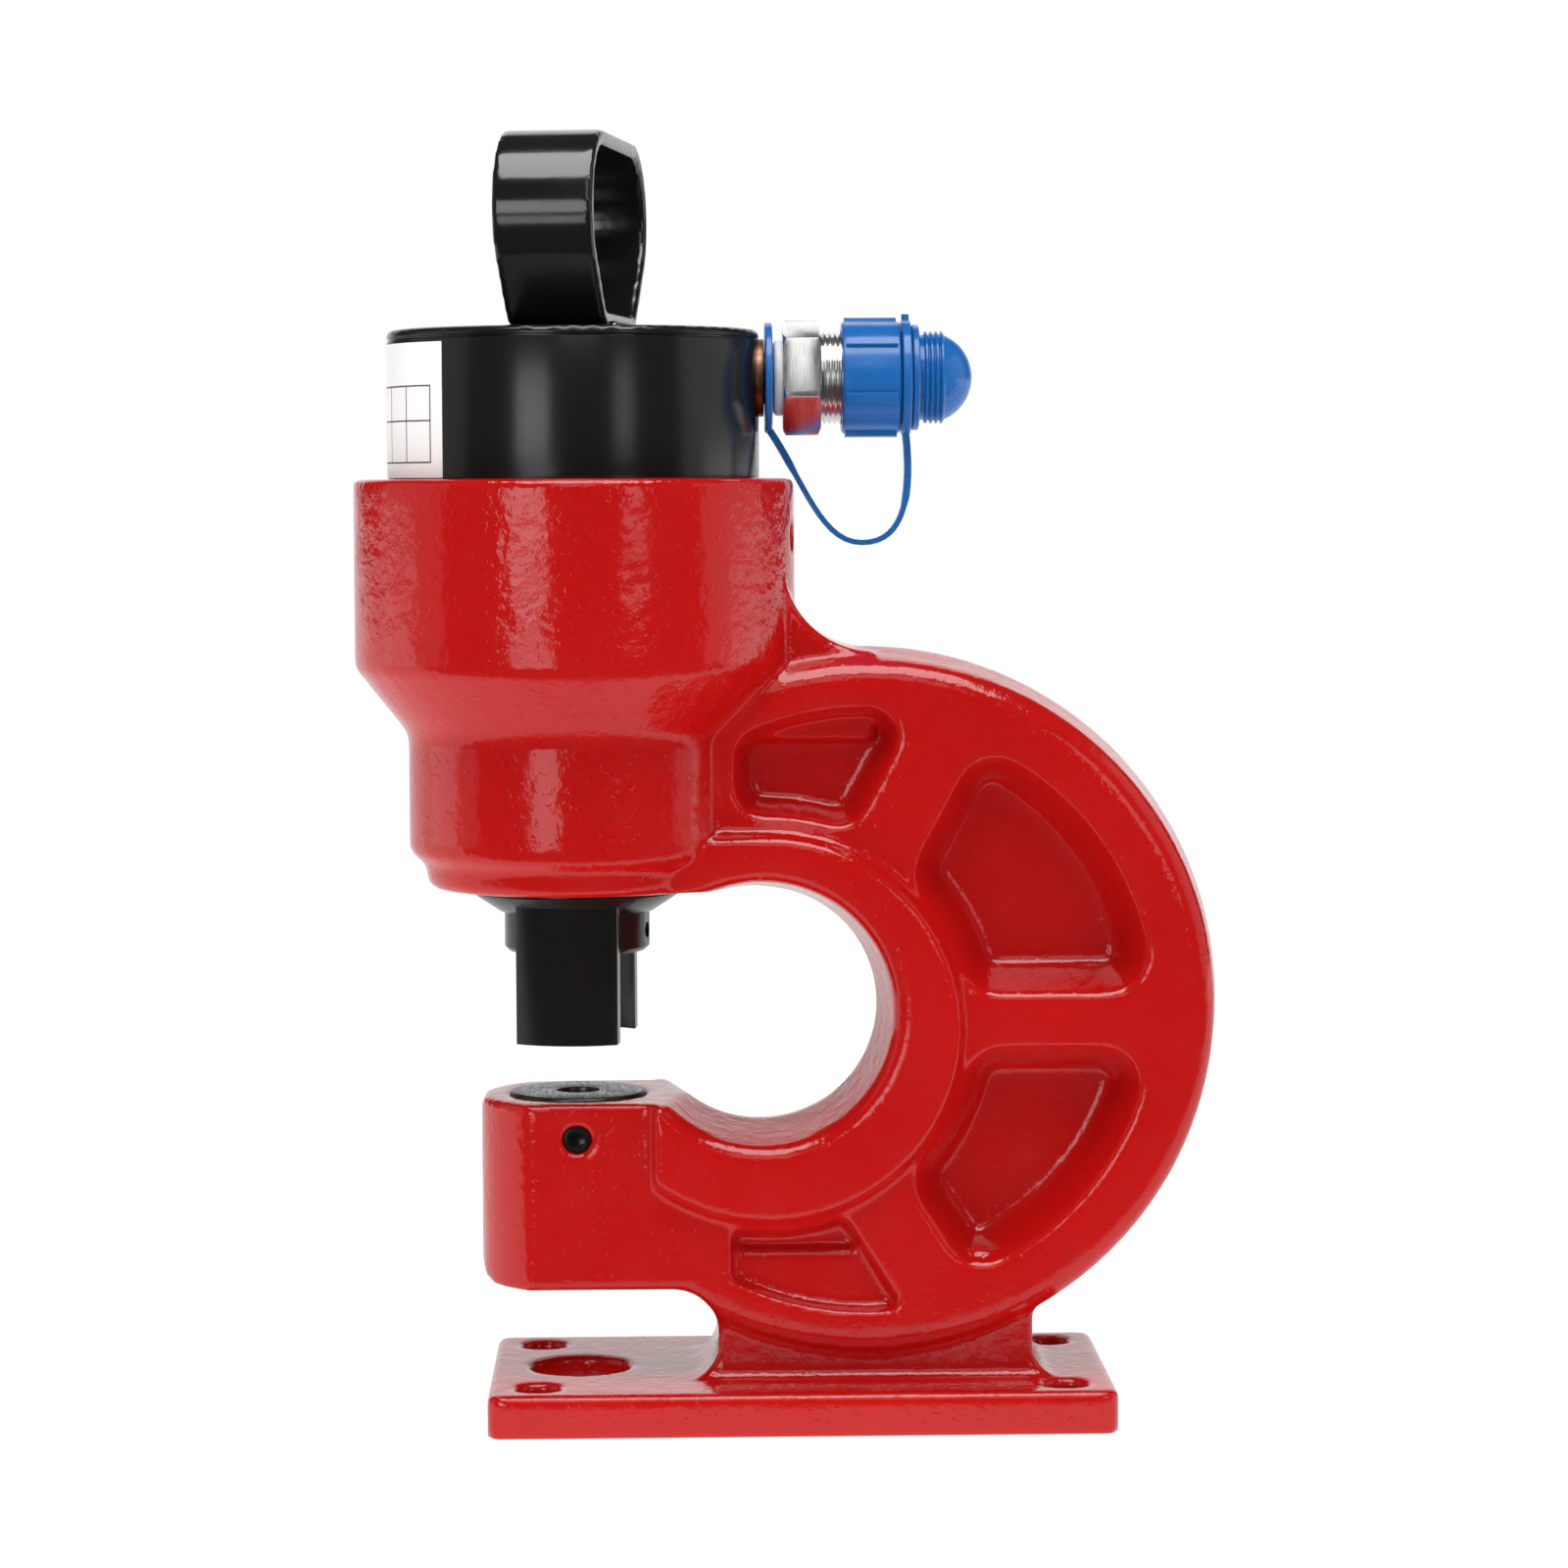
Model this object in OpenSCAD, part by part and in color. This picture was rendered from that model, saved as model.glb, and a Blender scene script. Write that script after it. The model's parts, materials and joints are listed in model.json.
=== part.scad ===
// Hydraulic hole punch: a cast C-frame with a cylinder head, ram, punch, die and oil coupler.
// Origin: where the punch axis meets the underside of the base. +X runs from the punch to the
// back of the C, +Y away from the viewer, +Z up. Millimetres.

/* [Base plate] */
// Front to back size of the base plate
base_w = 100; // [90:1:120]
// From the punch axis to the nose end of the base plate
base_nose = 28; // [26:1:40]
// From the punch axis to the tail end of the base plate
base_tail = 168; // [160:1:190]
// Thickness of the base plate
base_t = 13.5; // [10:0.5:18]
// Spacing of the base bolts along X
bolt_dx = 165; // [155:1:170]
// Spacing of the base bolts along Y
bolt_dy = 70; // [62:1:76]
// Diameter of the base bolt holes
bolt_d = 13.5; // [9:0.5:14]
// Diameter of the slug hole in the base
slug_d = 31; // [27:0.5:34]

/* [Jaw and throat] */
// Free height between the base and the jaw
jaw_gap = 29; // [24:1:34]
// Height of the jaw
jaw_h = 59; // [52:1:64]
// Front to back size of the jaw and of the C-plate
jaw_w = 60; // [56:1:64]
// From the punch axis to the nose of the jaw
jaw_nose = 30.8; // [26:0.1:32]
// Opening between the jaw top and the barrel
daylight = 66; // [62:1:72]
// From the punch axis to the back of the throat
throat_depth = 95; // [88:1:100]
// Radius of the throat at mid plane
throat_r = 37; // [34:0.5:37]

/* [C-frame ring] */
// Outer radius of the C
ring_r = 112.5; // [109:0.5:118]
// Distance from the punch axis to the centre of the C
ring_x = 91; // [88:1:94]
// Width of the outer band of the C, measured at the ribs
band_w = 23.5; // [20:0.5:28]
// Outer radius of the proud rim around the throat
rim_r = 60.5; // [57:0.5:64]
// How far the rim stands proud of the plate
rim_proud = 5.5; // [3:0.5:8]
// Radius of the web between the barrel and the C
arm_r = 28; // [20:1:29]
// Width of the level rib
rib_level_w = 18; // [12:1:24]
// Width of the two slanting ribs
rib_slant_w = 23; // [14:1:26]
// Depth of the two large pockets
pocket_depth = 17; // [8:0.5:19]

/* [Barrel and cylinder] */
// Outer radius of the upper barrel
barrel_r = 69.5; // [68:0.5:74]
// Outer radius of the lower barrel
waist_r = 52.8; // [50:0.2:56]
// Height of the barrel
barrel_h = 129; // [127:1:136]
// Radius of the cylinder bore
bore_r = 40; // [37:0.5:42]
// Stroke of the ram
stroke = 25; // [18:0.5:26]
// Radius of the ram
ram_r = 22; // [20:0.5:22]
// Radius of the cylinder cap
cap_r = 58.5; // [56:0.5:60]
// Height of the cap above the barrel
cap_h = 46.5; // [44:0.5:54]

/* [Punch and die] */
// Diameter of the punched hole
hole_d = 13; // [10:0.5:16]
// Clearance between the punch and the die, per side
die_clear = 0.25; // [0.2:0.05:0.4]
// Radius of the die
die_r = 21.3; // [19:0.1:23]
// Height of the die
die_h = 22; // [18:0.5:26]
// Radius of the punch nut
nut_r = 23; // [22:0.2:24]
// Daylight between the stripper legs and the die
plate_gap = 17.4; // [12:0.2:20]
// Turn of the stripper from the front view
stripper_turn = 7; // [0:1:15]

/* [Handle] */
// Width of the handle strap
handle_w = 31; // [24:1:36]
// Thickness of the handle strap
handle_t = 5; // [4:0.5:6]
// Height of the handle loop
handle_h = 60.5; // [50:0.5:64]
// Length of the handle's foot on the cap, corners included
handle_foot = 56; // [48:1:66]
// Length of the handle at half its height, corners included
handle_span = 114; // [104:1:118]
// Length of the handle's grip, corners included
handle_grip = 90; // [80:1:98]
// Turn of the handle from square
handle_turn = 9; // [0:1:20]

/* [Coupler and dust cap] */
// Height of the oil port below the top of the cap
port_drop = 15; // [14:0.5:24]
// Width across the flats of the coupler hex
hex_af = 32; // [28:1:34]
// Radius of the coupler thread
thread_r = 14.5; // [13:0.5:15]
// Length of the coupler hex
hex_l = 12; // [10:0.5:14]
// Length of the coupler thread
thread_l = 20.6; // [18:0.2:24]
// Wall of the dust cap over the thread
dust_wall = 2.7; // [2:0.1:3.4]
// Width of the dust cap strap
strap_w = 5; // [3:0.5:7]
// Thickness of the dust cap strap
strap_t = 1.7; // [1.2:0.1:2.4]

/* [Return spring] */
// Wire radius of the return spring
wire_r = 2.4; // [1.8:0.1:2.6]
// Number of coils of the return spring
coils = 4; // [3:1:4]

/* [Hidden] */
eps = 0.01;
$fn = 96;
// Clearances: a seat between still pieces, a running fit, a loose fit
seat = 0.03;
run = 0.05;
loose = 0.4;
// How far a fillet starts below the surface that it runs out on
sink = 0.4;
// Clearance at each end of a spring
spring_gap = 0.1;
// Heights along the punch axis
jaw_z0 = base_t + jaw_gap;
jaw_z1 = jaw_z0 + jaw_h;
barrel_z0 = jaw_z1 + daylight;
barrel_z1 = barrel_z0 + barrel_h;
cap_z1 = barrel_z1 + cap_h;
die_proud = 0.8;
die_z1 = jaw_z1 + die_proud;
die_z0 = die_z1 - die_h;
leg_z0 = die_z1 + plate_gap;
// The throat and the ring of the C
plate_y = jaw_w / 2;
throat_x = throat_depth - throat_r;
roof_drop = 0.6;
throat_z = barrel_z0 - throat_r - roof_drop;
roof_z = barrel_z0 + 0.5;
ring_z = throat_z + 1;
flare = 4;
mouth_edge = 6;
rim_y = plate_y + rim_proud;
rim_x = throat_x + 2;
rim_z = throat_z - 5;
rim_edge = 3;
rim_foot = 2;
rim_end_x = 24;
lip_r = 12;
far = 130;
// Barrel profile
bottom_flat_r = waist_r - 9.5;
step_z0 = barrel_z0 + 49;
step_z1 = step_z0 + (barrel_r - waist_r) * 1.26;
// Cylinder chamber, from the bottom up
spigot_h = 8;
spigot_r = nut_r + 4.45;
guide_h = 16;
guide_z0 = barrel_z0 + spigot_h + 0.5;
guide_z1 = guide_z0 + guide_h;
guide_r = ram_r + 4;
shoulder_z = barrel_z1 - 28.5;
stop_gap = 0.3;
piston_h = 26;
piston_z1 = shoulder_z - stop_gap;
piston_z0 = piston_z1 - piston_h;
chamber_r = bore_r - 10;
chamber_z = shoulder_z + 32;
stud_r = 14;
piston_nut_h = 12;
piston_seal_z = piston_z1 - 10;
piston_seal_h = 5.6;
piston_seal_t = 4.95;
guide_ring_z = piston_z0 + 5;
guide_ring_h = 8;
guide_ring_t = 2.45;
seal_wire = 3;
seal_r = (cap_r + bore_r) / 2;
// Set screws: the cap's lock in the barrel, turned from +X, and the die's lock in the jaw
lock_a = -8;
lock_z = barrel_z1 - 18.4;
lock_r = 4.1;
die_screw_r = 4.6;
die_screw_z = jaw_z1 - 11.2;
// Punch and its nut
nut_z0 = barrel_z0 - 20.1;
nut_z1 = guide_z0 - 4;
ram_end_z = nut_z0 + 10;
ram_thread_r = ram_r - 5;
punch_r = hole_d / 2;
punch_head_r = punch_r + 4.5;
punch_head_h = 5;
nut_floor = ram_end_z - punch_head_h - nut_z0;
punch_tip_z = die_z1 + stroke - 3.8;
die_hole_r = punch_r + die_clear;
slug_bore_r = die_hole_r + 4;
// Coupler, measured along X from the spot face on the cap
port_z = cap_z1 - port_drop;
spot_r = 12.6;
spot_x = sqrt(cap_r * cap_r - spot_r * spot_r) - 0.2;
washer_t = 3;
ring1_t = 2.3;
neck_r = 8.5;
tape_t = 2.9;
ring1_x = spot_x + washer_t + loose;
tape_x = ring1_x + ring1_t + loose;
hex_x = tape_x + tape_t;
thread_x = hex_x + hex_l;
mouth_x = thread_x + thread_l;
poppet_stroke = 4;
poppet_r = 7.6;
poppet_mouth_r = poppet_r - 2.4;
poppet_x = thread_x + 8;
valve_x0 = thread_x - 4;
valve_x1 = mouth_x - 3;
thread_shown = 6.6;
dust_x = thread_x + thread_shown;
dust_in_r = thread_r + loose;
dust_r = dust_in_r + dust_wall;
dust_body_l = 18.4;
ring2_t = 2.9;
groove_x = dust_x + dust_body_l;
flange_x = groove_x + ring2_t + 2 * loose;

// Points on an arc, with angles in degrees
function arc(c, r, a0, a1, n) =
    [for (i = [0:n]) let (a = a0 + (a1 - a0) * i / n) [c[0] + r * cos(a), c[1] + r * sin(a)]];

function unit(v) = v / norm(v);
function angle(v) = atan2(v[1], v[0]);
function swing(a0, a1) = (a1 - a0 + 900) % 360 - 180;

// One corner of an outline, rounded to radius r
function corner(p0, p1, p2, r, n) =
    let (u = unit(p0 - p1), v = unit(p2 - p1), half = acos(u * v) / 2)
    r <= 0 ? [p1] :
    let (c = p1 + unit(u + v) * r / sin(half), d = r / tan(half))
    let (a0 = angle(p1 + u * d - c), s = swing(a0, angle(p1 + v * d - c)))
    arc(c, r, a0, a0 + s, n);

// A closed outline with every corner rounded to its own radius
function rounded(p, r, n = 8) =
    let (m = len(p))
    [for (i = [0:m - 1]) for (q = corner(p[(i + m - 1) % m], p[i], p[(i + 1) % m], r[i], n)) q];

// A straight-sided outline moved inwards by d, for points that run counter-clockwise
function inset(p, d) =
    let (m = len(p))
    [for (i = [0:m - 1])
        let (a = unit(p[i] - p[(i + m - 1) % m]), b = unit(p[(i + 1) % m] - p[i]))
        let (na = [-a[1], a[0]], nb = [-b[1], b[0]])
        p[i] + (na + nb) * d / (1 + na * nb)];

// A prism along Y of an outline drawn in X and Z
module along_y(y0, y1) {
    translate([0, y1, 0])
        rotate([90, 0, 0])
            linear_extrude(y1 - y0) children();
}

// A prism along X of an outline drawn in Y and Z
module along_x(x0, x1) {
    translate([x0, 0, 0])
        rotate([90, 0, 90])
            linear_extrude(x1 - x0) children();
}

// A solid turned about an axis parallel to Y
module turned_y(x, z) {
    translate([x, 0, z])
        rotate([90, 0, 0])
            rotate_extrude($fn = 144) children();
}

// A solid turned about the oil port's axis, from a profile of [radius, X]
module turned_x(p) {
    translate([0, 0, port_z])
        rotate([0, 90, 0])
            rotate_extrude() polygon(p);
}

// The sides of the pockets, counter-clockwise: a point on each, its direction and half width
function rib(x, z, a, w) = [[x, z], a, w];
SIDES = [
    rib(throat_x - 10, ring_z - 60, -90, 0),
    rib(throat_x + 35.5, ring_z - 59.2, -58, rib_slant_w / 2),
    rib(ring_x, ring_z - 4, 0, rib_level_w / 2),
    rib(throat_x + 39, ring_z + 51.5, 62, rib_slant_w / 2),
    rib(waist_r - 2.8, ring_z + 80, 90, 0)];
// Depth, slope, corner radius, extra reach outwards and distance from the rim of each pocket
POCKETS = [[pocket_depth * 0.5, 0.28, 2.8, 6.5, 1.6], [pocket_depth, 1, 12, 0, 1.6],
    [pocket_depth, 1, 12, 0, 1.6], [pocket_depth * 0.75, 0.6, 9, 5, 4.2]];
// Wall of a pocket: [share of the depth, inset], from above the plate's face down to the floor
WALL = [[-0.06, -1.6], [0, -1.6], [0.1, -0.3], [0.2, 0.6], [0.76, 5.4], [0.93, 7.2], [1, 9.6]];

// Where a line beside a rib meets a circle, outwards from the middle of the C
function meet(s, off, c, r) =
    let (u = [cos(s[1]), sin(s[1])], n = [-sin(s[1]), cos(s[1])], q = s[0] + off * n - c)
    q + c + u * (sqrt(pow(q * u, 2) - q * q + r * r) - q * u);

// Outline of one pocket, moved in by d, with corners of radius f
function pocket_ring(k, d, f) =
    let (a = SIDES[k], b = SIDES[k + 1])
    let (co = [ring_x, ring_z], ro = ring_r - band_w + POCKETS[k][3] - d)
    let (ci = [rim_x, rim_z], ri = rim_r + rim_foot + POCKETS[k][4] + d)
    let (ao = meet(a, a[2] + d + f, co, ro - f), bo = meet(b, -b[2] - d - f, co, ro - f))
    let (ai = meet(a, a[2] + d + f, ci, ri + f), bi = meet(b, -b[2] - d - f, ci, ri + f))
    let (wa = a[1] - 90, wb = b[1] + 90)
    concat(
        arc(ai, f, angle(ci - ai), angle(ci - ai) + swing(angle(ci - ai), wa), 4),
        arc(ao, f, wa, wa + swing(wa, angle(ao - co)), 4),
        arc(co, ro, angle(ao - co), angle(ao - co) + swing(angle(ao - co), angle(bo - co)), 10),
        arc(bo, f, angle(bo - co), angle(bo - co) + swing(angle(bo - co), wb), 4),
        arc(bi, f, wb, wb + swing(wb, angle(ci - bi)), 4),
        arc(ci, ri, angle(bi - ci), angle(bi - ci) + swing(angle(bi - ci), angle(ai - ci)), 6));

// A pocket as a loft of its outlines, sunk into the face of the plate that looks to -Y
module pocket(k) {
    depth = POCKETS[k][0];
    rings = [for (w = WALL) [for (p = pocket_ring(k, w[1] * POCKETS[k][1],
        max(POCKETS[k][2] - w[1] * POCKETS[k][1], 1.5))) [p[0], w[0] * depth - plate_y, p[1]]]];
    n = len(rings[0]);
    m = len(rings);
    points = [for (r = rings) for (p = r) p];
    sides = [for (j = [0:m - 2]) for (i = [0:n - 1]) for (t = [0, 1])
        let (a = j * n + i, b = j * n + (i + 1) % n)
        t == 0 ? [a, b, a + n] : [b, b + n, a + n]];
    polyhedron(points, concat(sides, [[for (i = [n - 1:-1:0]) i]],
        [[for (i = [0:n - 1]) (m - 1) * n + i]]), convexity = 6);
}

// The full disc that the C is cut from, with a crowned and rounded rim
module c_disc() {
    edge = 8;
    crown = 3;
    face_r = ring_r - edge - crown;
    turned_y(ring_x, ring_z)
        polygon(concat([[0, -plate_y]], arc([face_r, edge - plate_y], edge, -90, 0, 8),
            [[ring_r, 0]], arc([face_r, plate_y - edge], edge, 0, 90, 8), [[0, plate_y]]));
}

// The proud rim around the throat, with its straight end that runs into the barrel
module throat_rim() {
    top_z = rim_z + rim_r;
    foot_y = plate_y - 1;
    side = [[rim_y - rim_edge, top_z], [rim_y, top_z - rim_edge]];
    intersection() {
        turned_y(rim_x, rim_z)
            polygon(concat([[0, -rim_y]],
                arc([rim_r - rim_edge, rim_edge - rim_y], rim_edge, -90, 0, 6),
                [[rim_r + rim_foot, -foot_y], [rim_r + rim_foot, foot_y]],
                arc([rim_r - rim_edge, rim_y - rim_edge], rim_edge, 0, 90, 6), [[0, rim_y]]));
        translate([rim_end_x, -far, 0]) cube([far, 2 * far, 3 * far]);
    }
    along_x(rim_end_x, rim_x)
        polygon(concat(
            [[-rim_y, barrel_z0], [rim_y, barrel_z0]],
            arc([rim_y - rim_edge, top_z - rim_edge], rim_edge, 0, 90, 6),
            arc([rim_edge - rim_y, top_z - rim_edge], rim_edge, 90, 180, 6)));
}

// The throat and its mouth, with a flared wall, rounded edges and a rounded lip at the jaw
module throat_cut() {
    lip_drop = throat_z - jaw_z1 + lip_r;
    lip_reach = sqrt(pow(throat_r - roof_drop + lip_r, 2) - lip_drop * lip_drop);
    lip = [throat_x - lip_reach, jaw_z1 - lip_r];
    lip_end = atan2(lip_drop, lip_reach);
    wall_y = rim_y - mouth_edge;
    wall_r = throat_r + flare;
    turned_y(throat_x, throat_z)
        polygon(concat([[0, -2 * rim_y], [wall_r + mouth_edge, -2 * rim_y]],
            arc([wall_r + mouth_edge, -wall_y], mouth_edge, 270, 180, 6), [[throat_r, 0]],
            arc([wall_r + mouth_edge, wall_y], mouth_edge, 180, 90, 6),
            [[wall_r + mouth_edge, 2 * rim_y], [0, 2 * rim_y]]));
    along_y(-far, far)
        polygon(concat([[-far, jaw_z1]], arc(lip, lip_r, 90, lip_end, 8),
            [[throat_x, throat_z], [throat_x, roof_z], [-far, roof_z]]));
}

// The jaw under the die: a nose of large radius between two flat sides
module jaw() {
    nose_x = 15;
    sag = jaw_nose - nose_x;
    nose_r = (plate_y * plate_y + sag * sag) / (2 * sag);
    half = asin(plate_y / nose_r);
    right = throat_x - 14;
    edge = 2.5;
    intersection() {
        translate([0, 0, jaw_z0 - 1])
            linear_extrude(jaw_h + 2)
                polygon(concat(arc([nose_r - jaw_nose, 0], nose_r, 180 - half, 180 + half, 16),
                    [[right, -plate_y], [right, plate_y]]));
        along_y(-far, far)
            polygon(rounded([[-jaw_nose, jaw_z0], [right, jaw_z0], [right, jaw_z1],
                [-jaw_nose, jaw_z1]], [6, 0, 0, 3]));
        along_x(-far, far)
            polygon(rounded([[-plate_y, jaw_z0], [plate_y, jaw_z0], [plate_y, jaw_z1],
                [-plate_y, jaw_z1]], [edge, edge, edge, edge], 5));
    }
}

// The foot between the C and the base plate, with its fillets
module pedestal() {
    half_w = plate_y - 5;
    tail = throat_x + 85;
    flare_r = 10;
    fillet = 4;
    left = throat_x - 30;
    foot_z = base_t - sink;
    along_y(-half_w, half_w)
        polygon(concat([[left, base_t - 1], [tail + flare_r, base_t - 1]],
            arc([tail + flare_r, foot_z + flare_r], flare_r, 270, 180, 8),
            [[tail, jaw_z0 + 12], [left, jaw_z0 + 12]]));
    for (s = [-1, 1])
        along_x(left + 8, tail + 2)
            polygon(concat([[s * (half_w - 1), base_t - 1], [s * (half_w + fillet), base_t - 1]],
                arc([s * (half_w + fillet), foot_z + fillet], fillet, 270, s > 0 ? 180 : 360, 6),
                [[s * (half_w - 1), base_t + fillet]]));
}

// The gap under the jaw, which ends in two arcs against the pedestal
module under_jaw_cut() {
    end_x = throat_x - 14;
    foot_z = base_t - sink;
    along_y(-far, far)
        polygon(rounded([[-far, foot_z], [end_x, foot_z], [end_x, jaw_z0], [-far, jaw_z0]],
            [0, 11, 14, 0]));
}

// The base plate, with rounded corners and softened top edges
module base_plate() {
    x0 = -base_nose;
    x1 = base_tail;
    y1 = base_w / 2;
    edge = 1.5;
    intersection() {
        linear_extrude(base_t)
            polygon(rounded([[x0, -y1], [x1, -y1], [x1, y1], [x0, y1]], [5, 5, 5, 5]));
        along_y(-far, far)
            polygon(rounded([[x0, 0], [x1, 0], [x1, base_t], [x0, base_t]], [0, 0, edge, edge], 4));
        along_x(-far, 2 * far)
            polygon(rounded([[-y1, 0], [y1, 0], [y1, base_t], [-y1, base_t]],
                [0, 0, edge, edge], 4));
    }
}

// The bolt holes, centred on the plate along X
module bolt_holes() {
    mid_x = (base_tail - base_nose) / 2;
    for (sx = [-1, 1])
        for (sy = [-1, 1])
            translate([mid_x + sx * bolt_dx / 2, sy * bolt_dy / 2, -1])
                cylinder(h = base_t + 2, d = bolt_d, $fn = 48);
}

// The stepped barrel, solid, turned so that its seam lies clear of the C's mid plane
module barrel() {
    rotate([0, 0, 100])
        rotate_extrude($fn = 144)
            polygon(concat([[0, barrel_z0], [bottom_flat_r, barrel_z0]],
                arc([bottom_flat_r, barrel_z0 + 4], 4, -90, -20, 4),
                [[waist_r - 5, barrel_z0 + 7.5]],
                corner([waist_r - 5, barrel_z0 + 7.5], [waist_r, barrel_z0 + 12],
                    [waist_r, step_z0], 4, 4),
                corner([waist_r, barrel_z0 + 12], [waist_r, step_z0], [barrel_r, step_z1], 8, 5),
                corner([waist_r, step_z0], [barrel_r, step_z1], [barrel_r, barrel_z1], 4, 4),
                corner([barrel_r, step_z1], [barrel_r, barrel_z1], [0, barrel_z1], 1.6, 4),
                [[0, barrel_z1]]));
}

// The bores inside the barrel, from the stripper thread to the cap thread
module barrel_bores() {
    translate([0, 0, barrel_z0 - eps]) cylinder(h = spigot_h + 0.6, r = spigot_r + seat);
    translate([0, 0, guide_z0]) cylinder(h = guide_h + eps, r = guide_r + seat);
    translate([0, 0, guide_z1]) cylinder(h = shoulder_z - guide_z1 + eps, r = bore_r);
    translate([0, 0, shoulder_z]) cylinder(h = barrel_z1 - shoulder_z + 1, r = cap_r + seat);
}

// The concave web between the barrel and the top of the C
module arm_fillet() {
    r = arm_r;
    top = ring_z + ring_r + r - 1;
    half_w = plate_y - 8;
    start_x = sqrt(barrel_r * barrel_r - half_w * half_w) - sink;
    along_y(-half_w, half_w)
        polygon(concat([[waist_r, top - 2 * r], [waist_r, top]],
            arc([start_x + r, top], r, 180, 270, 10), [[start_x + r, top - 2 * r]]));
}

// Frame: one casting, machined at the bores, the jaw top and the base
module frame_casting() {
    color("firebrick")
    difference() {
        union() {
            difference() {
                union() {
                    difference() {
                        c_disc();
                        for (k = [0:3]) pocket(k);
                        mirror([0, 1, 0]) for (k = [0:3]) pocket(k);
                    }
                    throat_rim();
                    jaw();
                    pedestal();
                }
                throat_cut();
                under_jaw_cut();
            }
            barrel();
            arm_fillet();
            base_plate();
        }
        barrel_bores();
        bolt_holes();
        translate([0, 0, -1]) cylinder(h = base_t + 2, d = slug_d, $fn = 72);
        translate([0, 0, jaw_z0 - 1]) cylinder(h = jaw_h, r = slug_bore_r, $fn = 72);
        translate([0, 0, die_z0]) cylinder(h = die_h + 1, r = die_r + seat);
        translate([0, 0, die_screw_z])
            rotate([90, 0, 0]) cylinder(h = plate_y + 1, r = die_screw_r, $fn = 48);
        rotate([0, 0, lock_a])
            translate([0, 0, lock_z])
                rotate([0, 90, 0]) cylinder(h = barrel_r + 1, r = lock_r, $fn = 48);
    }
}

// Cap: the screwed cylinder head, with its oil chamber and drilled port
module cylinder_cap() {
    groove_z = cap_z1 - 3;
    color("#1c1c1e")
    difference() {
        rotate_extrude($fn = 144)
            polygon(concat([[chamber_r, shoulder_z + seat], [cap_r, shoulder_z + seat],
                [cap_r, groove_z - 0.5], [cap_r - 0.5, groove_z - 0.25],
                [cap_r - 0.5, groove_z + 0.25], [cap_r, groove_z + 0.5]],
                arc([cap_r - 2, cap_z1 - 2], 2, 0, 90, 5), [[0, cap_z1], [0, chamber_z],
                [chamber_r, chamber_z]]));
        translate([0, 0, shoulder_z])
            rotate_extrude()
                polygon([[seal_r - 1.7, -1], [seal_r + 1.7, -1], [seal_r + 1.7, seal_wire + 0.1],
                    [seal_r - 1.7, seal_wire + 0.1]]);
        translate([0, 0, chamber_z - 1]) cylinder(h = port_z - chamber_z + 2, r = 3.5, $fn = 40);
        turned_x([[0, -6], [4, -6], [4, spot_x - 17], [neck_r + seat, spot_x - 17],
            [neck_r + seat, spot_x], [spot_r, spot_x], [spot_r, cap_r + 1], [0, cap_r + 1]]);
    }
}

// A round ring of wire about the punch axis
module wire_ring(r, wire, z) {
    translate([0, 0, z])
        rotate_extrude() translate([r, 0]) circle(d = wire, $fn = 24);
}

module cap_seal() {
    color("#101010") wire_ring(seal_r, seal_wire, shoulder_z + seal_wire / 2 + 0.05);
}

// A socket set screw along X from x0 to x1
module set_screw(x0, x1, r, af) {
    translate([x0, 0, 0])
        rotate([0, 90, 0])
            difference() {
                rotate_extrude($fn = 48)
                    polygon([[0, 0], [r - 1.2, 0], [r, 1.2], [r, x1 - x0 - 0.6],
                        [r - 0.6, x1 - x0], [0, x1 - x0]]);
                translate([0, 0, x1 - x0 - 3.5]) cylinder(h = 4, d = af / cos(30), $fn = 6);
            }
}

module cap_lock_screw() {
    color("#232323")
        rotate([0, 0, lock_a])
            translate([0, 0, lock_z])
                set_screw(cap_r + 0.1, barrel_r - 1.5, lock_r - seat, 4);
}

module rod_guide() {
    color("darkgoldenrod")
    difference() {
        translate([0, 0, guide_z0]) cylinder(h = guide_h, r = guide_r);
        translate([0, 0, guide_z0 - 1]) cylinder(h = guide_h + 2, r = ram_r + run);
        translate([0, 0, guide_z0 - 1]) cylinder(h = 6, r = ram_r + 2.5);
    }
}

module rod_wiper() {
    color("#26262a")
        translate([0, 0, guide_z0])
            rotate_extrude()
                polygon([[ram_r + 0.08, 0], [ram_r + 0.08, 1.6], [ram_r + 0.9, 2.6],
                    [ram_r + 0.9, 4.9], [ram_r + 2.45, 4.9], [ram_r + 2.45, 0]]);
}

// Stripper: a screwed collar with a sloping flange and two curved legs
module stripper() {
    in_r = nut_r + loose;
    leg_r0 = nut_r + 0.8;
    leg_r1 = leg_r0 + 5.2;
    flange_r = leg_r1 + 4.4;
    leg_w = 32;
    slope_z = barrel_z0 - 7.5;
    color("#1a1a1a")
        rotate([0, 0, -stripper_turn]) {
            rotate_extrude()
                polygon([[in_r, slope_z], [in_r + 1, slope_z], [flange_r, barrel_z0 - 1.6],
                    [flange_r, barrel_z0 - seat], [spigot_r, barrel_z0 - seat],
                    [spigot_r, barrel_z0 + spigot_h], [in_r, barrel_z0 + spigot_h]]);
            intersection() {
                difference() {
                    translate([0, 0, leg_z0]) cylinder(h = barrel_z0 - 1.5 - leg_z0, r = leg_r1);
                    translate([0, 0, leg_z0 - 1]) cylinder(h = 2 * daylight, r = leg_r0);
                }
                translate([-leg_w / 2, -far, leg_z0]) cube([leg_w, 2 * far, 2 * daylight]);
            }
        }
}

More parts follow.
